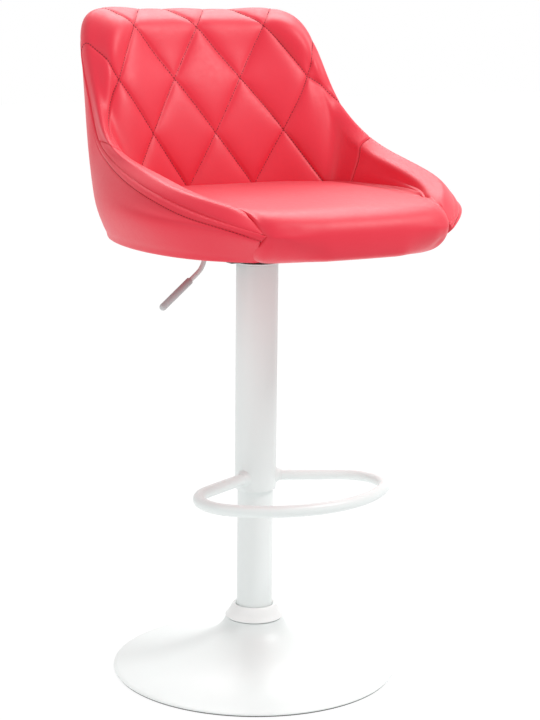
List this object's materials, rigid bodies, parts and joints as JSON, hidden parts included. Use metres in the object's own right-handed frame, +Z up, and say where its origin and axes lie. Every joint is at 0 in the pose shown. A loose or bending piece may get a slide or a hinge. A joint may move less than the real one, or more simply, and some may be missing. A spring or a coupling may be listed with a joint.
{
  "type": "adjustable swivel stool",
  "caption": "Height-adjustable swivel bar stool with a quilted bucket seat, side lever, round column, D-shaped footrest and round trumpet base.",
  "frame": {"origin": "on the floor, on the axis of the column, at the underside of the base", "axes": "+Z up along the column; the stool faces -Y; the lever points to -X, which is the sitter's right"},
  "size_m": [0.4588, 0.5027, 0.8869],
  "materials": {
    "white_metal": "satin powder coat",
    "lever_metal": "satin powder coat",
    "steel": "zinc plated",
    "black_metal": "black powder coat",
    "cast": "raw casting",
    "white_plastic": "fine grain",
    "grip_plastic": "fine grain",
    "black_plastic": "fine grain",
    "rubber": "matte",
    "plywood": "raw plywood",
    "red_leather": "smooth coated, fine grain",
    "dust_cloth": "non-woven"
  },
  "bodies": {
    "base": {"base_dish": "white_metal", "floor_pad": "rubber", "ballast_plate": "cast", "tube_flange": "black_metal", "flange_bolts": "steel", "lower_tube": "white_metal", "collar_ring": "white_plastic", "guide_bush": "black_plastic", "bearing_seat": "steel"},
    "lift_rod": {"piston_rod": "steel", "piston_head": "black_plastic", "bearing_race": "steel", "bearing_balls": "steel", "rod_clip": "steel"},
    "seat": {"gas_cylinder": "black_metal", "cylinder_gland": "black_plastic", "sleeve_tube": "white_metal", "sleeve_bush": "white_plastic", "sleeve_cap": "white_plastic", "footrest_bar": "white_metal", "footrest_collars": "white_metal", "mount_socket": "black_metal", "lever_housing": "black_metal", "mount_plate": "black_metal", "mount_bolts": "steel", "mount_washers": "steel", "t_nuts": "steel", "lever_pin": "steel", "seat_board": "plywood", "bottom_cover": "dust_cloth", "shell_frame": "plywood", "outer_cover": "red_leather", "edge_piping": "red_leather", "back_pad": "red_leather", "arm_pad_left": "red_leather", "arm_pad_right": "red_leather", "seat_cushion": "red_leather"},
    "lever": {"lever_rod": "lever_metal", "lever_grip": "grip_plastic"},
    "valve": {"valve_pin": "black_plastic"}
  },
  "joints": [
    {"name": "swivel", "type": "hinge", "parent": "base", "child": "lift_rod", "pos_m": [0, 0, 0.026], "axis": [0, 0, 1], "continuous": true},
    {"name": "lift", "type": "slide", "parent": "lift_rod", "child": "seat", "axis": [0, 0, 1], "range_m": [-0.085, 0.125]},
    {"name": "lever_tilt", "type": "hinge", "parent": "seat", "child": "lever", "pos_m": [-0.03, 0, 0.583], "axis": [0, 1, 0], "range_deg": [0, 5], "stiffness_Nm_per_rad": 1.5, "springref_deg": -5.73},
    {"name": "valve_press", "type": "slide", "parent": "seat", "child": "valve", "axis": [0, 0, -1], "range_m": [0, 0.0028]}
  ],
  "couplings": [
    {"joint": "valve_press", "follows": "lever_tilt", "m_per_rad": 0.03}
  ]
}
